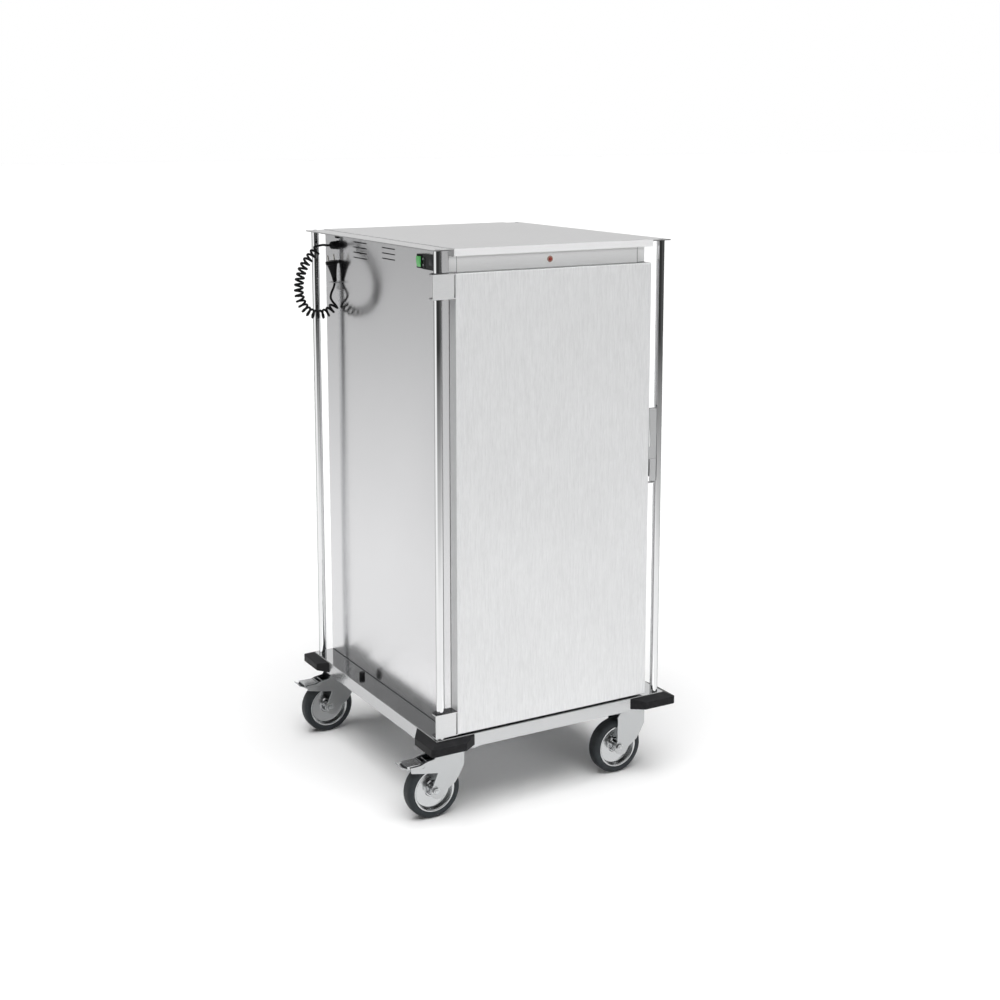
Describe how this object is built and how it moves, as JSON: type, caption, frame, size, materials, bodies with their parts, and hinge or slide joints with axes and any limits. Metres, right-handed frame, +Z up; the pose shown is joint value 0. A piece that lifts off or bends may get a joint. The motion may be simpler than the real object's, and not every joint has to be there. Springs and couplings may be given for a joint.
{
  "type": "gastronorm tray trolley",
  "caption": "Insulated stainless steel trolley for gastronorm trays: a heated cabinet with a side-hinged door between corner tubes, on a bumpered castor chassis, with a curly mains cord.",
  "frame": {"origin": "on the floor, at the plan centre of the box round the trolley with its castors trailing to -X and without the cord and plug", "axes": "+X to the right as seen from the door, +Y from the door to the back, +Z up"},
  "size_m": [0.861, 0.882, 1.5656],
  "materials": {
    "brushed_stainless": "satin, brushed",
    "polished_stainless": "bright annealed",
    "chromed_steel": "polished",
    "zinc_plated_steel": "zinc plated",
    "bumper_rubber": "matt",
    "tyre_rubber": "matt",
    "core_steel": "polished",
    "black_plastic": "matt",
    "controller_plastic": "gloss",
    "key_plastic": "satin",
    "green_plastic": "gloss, translucent",
    "lens_plastic": "gloss, translucent",
    "bezel_plastic": "gloss",
    "nylon": "satin",
    "gasket_rubber": "matt",
    "insulation_wool": "fibrous",
    "cord_rubber": "satin",
    "pin_metal": "nickel plated",
    "heater_steel": "heat tinted",
    "motor_metal": "painted"
  },
  "bodies": {
    "cabinet": {"base_tray": "polished_stainless", "castor_channels": "brushed_stainless", "corner_bumpers": "bumper_rubber", "roof_plate": "brushed_stainless", "roof_cover": "brushed_stainless", "hinge_post": "chromed_steel", "corner_tubes": "chromed_steel", "tube_screws": "zinc_plated_steel", "side_panel_left": "brushed_stainless", "side_panel_right": "brushed_stainless", "back_panel": "brushed_stainless", "insulation": "insulation_wool", "inner_liner": "brushed_stainless", "front_frame": "brushed_stainless", "fascia": "brushed_stainless", "rack_left": "brushed_stainless", "rack_right": "brushed_stainless", "air_guide": "brushed_stainless", "fan_motor": "motor_metal", "heater_bars": "heater_steel", "pilot_bezel": "bezel_plastic", "pilot_lens": "lens_plastic", "switch_frame": "black_plastic", "controller_case": "controller_plastic", "cord_gland": "black_plastic", "plug_holder": "brushed_stainless", "door_buffer": "bumper_rubber", "castor_plates": "zinc_plated_steel", "cord_lead": "cord_rubber", "cord_curl": "cord_rubber", "cord_tail": "cord_rubber", "plug_body": "cord_rubber", "plug_pins": "pin_metal"},
    "door": {"door_skin": "brushed_stainless", "door_liner": "brushed_stainless", "door_core": "insulation_wool", "door_gasket": "gasket_rubber", "hinge_bracket_upper": "brushed_stainless", "hinge_bracket_lower": "brushed_stainless", "hinge_bushes": "nylon", "door_grip": "brushed_stainless"},
    "transport_lock": {"transport_lock": "brushed_stainless"},
    "switch_key": {"switch_key": "green_plastic"},
    "controller_key_upper": {"controller_key_upper": "key_plastic"},
    "controller_key_lower": {"controller_key_lower": "key_plastic"},
    "fan_wheel": {"fan_wheel": "brushed_stainless"},
    "castor_front_left": {"castor_fork_front_left": "zinc_plated_steel"},
    "wheel_front_left": {"castor_tyre_front_left": "tyre_rubber", "castor_core_front_left": "core_steel"},
    "castor_front_right": {"castor_fork_front_right": "zinc_plated_steel"},
    "wheel_front_right": {"castor_tyre_front_right": "tyre_rubber", "castor_core_front_right": "core_steel"},
    "castor_rear_left": {"castor_fork_rear_left": "zinc_plated_steel"},
    "wheel_rear_left": {"castor_tyre_rear_left": "tyre_rubber", "castor_core_rear_left": "core_steel"},
    "castor_rear_right": {"castor_fork_rear_right": "zinc_plated_steel"},
    "wheel_rear_right": {"castor_tyre_rear_right": "tyre_rubber", "castor_core_rear_right": "core_steel"},
    "pedal_front_left": {"castor_pedal_front_left": "zinc_plated_steel"},
    "pedal_rear_left": {"castor_pedal_rear_left": "zinc_plated_steel"}
  },
  "joints": [
    {"name": "door_hinge", "type": "hinge", "parent": "cabinet", "child": "door", "pos_m": [-0.3235, -0.396, 0.872], "axis": [0, 0, -1], "range_deg": [0, 268]},
    {"name": "transport_lock_pivot", "type": "hinge", "parent": "door", "child": "transport_lock", "pos_m": [0.3565, -0.408, 0.908], "axis": [0, 0, -1], "range_deg": [0, 35]},
    {"name": "switch_rock", "type": "hinge", "parent": "cabinet", "child": "switch_key", "pos_m": [-0.2825, -0.224, 1.518], "axis": [0, 1, 0], "range_deg": [0, 12]},
    {"name": "controller_key_upper_press", "type": "slide", "parent": "cabinet", "child": "controller_key_upper", "axis": [1, 0, 0], "range_m": [0, 0.0008], "stiffness_N_per_m": 400},
    {"name": "controller_key_lower_press", "type": "slide", "parent": "cabinet", "child": "controller_key_lower", "axis": [1, 0, 0], "range_m": [0, 0.0008], "stiffness_N_per_m": 400},
    {"name": "fan_spin", "type": "hinge", "parent": "cabinet", "child": "fan_wheel", "pos_m": [0.0295, 0.345, 1.24], "axis": [0, 1, 0], "continuous": true},
    {"name": "castor_swivel_front_left", "type": "hinge", "parent": "cabinet", "child": "castor_front_left", "pos_m": [-0.273, -0.355, 0.188], "axis": [0, 0, 1], "continuous": true},
    {"name": "wheel_spin_front_left", "type": "hinge", "parent": "castor_front_left", "child": "wheel_front_left", "pos_m": [-0.3315, -0.355, 0.08], "axis": [0, 1, 0], "continuous": true},
    {"name": "castor_swivel_front_right", "type": "hinge", "parent": "cabinet", "child": "castor_front_right", "pos_m": [0.332, -0.355, 0.188], "axis": [0, 0, 1], "continuous": true},
    {"name": "wheel_spin_front_right", "type": "hinge", "parent": "castor_front_right", "child": "wheel_front_right", "pos_m": [0.2735, -0.355, 0.08], "axis": [0, 1, 0], "continuous": true},
    {"name": "castor_swivel_rear_left", "type": "hinge", "parent": "cabinet", "child": "castor_rear_left", "pos_m": [-0.273, 0.355, 0.188], "axis": [0, 0, 1], "continuous": true},
    {"name": "wheel_spin_rear_left", "type": "hinge", "parent": "castor_rear_left", "child": "wheel_rear_left", "pos_m": [-0.3315, 0.355, 0.08], "axis": [0, 1, 0], "continuous": true},
    {"name": "castor_swivel_rear_right", "type": "hinge", "parent": "cabinet", "child": "castor_rear_right", "pos_m": [0.332, 0.355, 0.188], "axis": [0, 0, 1], "continuous": true},
    {"name": "wheel_spin_rear_right", "type": "hinge", "parent": "castor_rear_right", "child": "wheel_rear_right", "pos_m": [0.2735, 0.355, 0.08], "axis": [0, 1, 0], "continuous": true},
    {"name": "pedal_lift_front_left", "type": "hinge", "parent": "castor_front_left", "child": "pedal_front_left", "pos_m": [-0.3695, -0.355, 0.158], "axis": [0, 1, 0], "range_deg": [0, 12]},
    {"name": "pedal_lift_rear_left", "type": "hinge", "parent": "castor_rear_left", "child": "pedal_rear_left", "pos_m": [-0.3695, 0.355, 0.158], "axis": [0, 1, 0], "range_deg": [0, 12]}
  ]
}
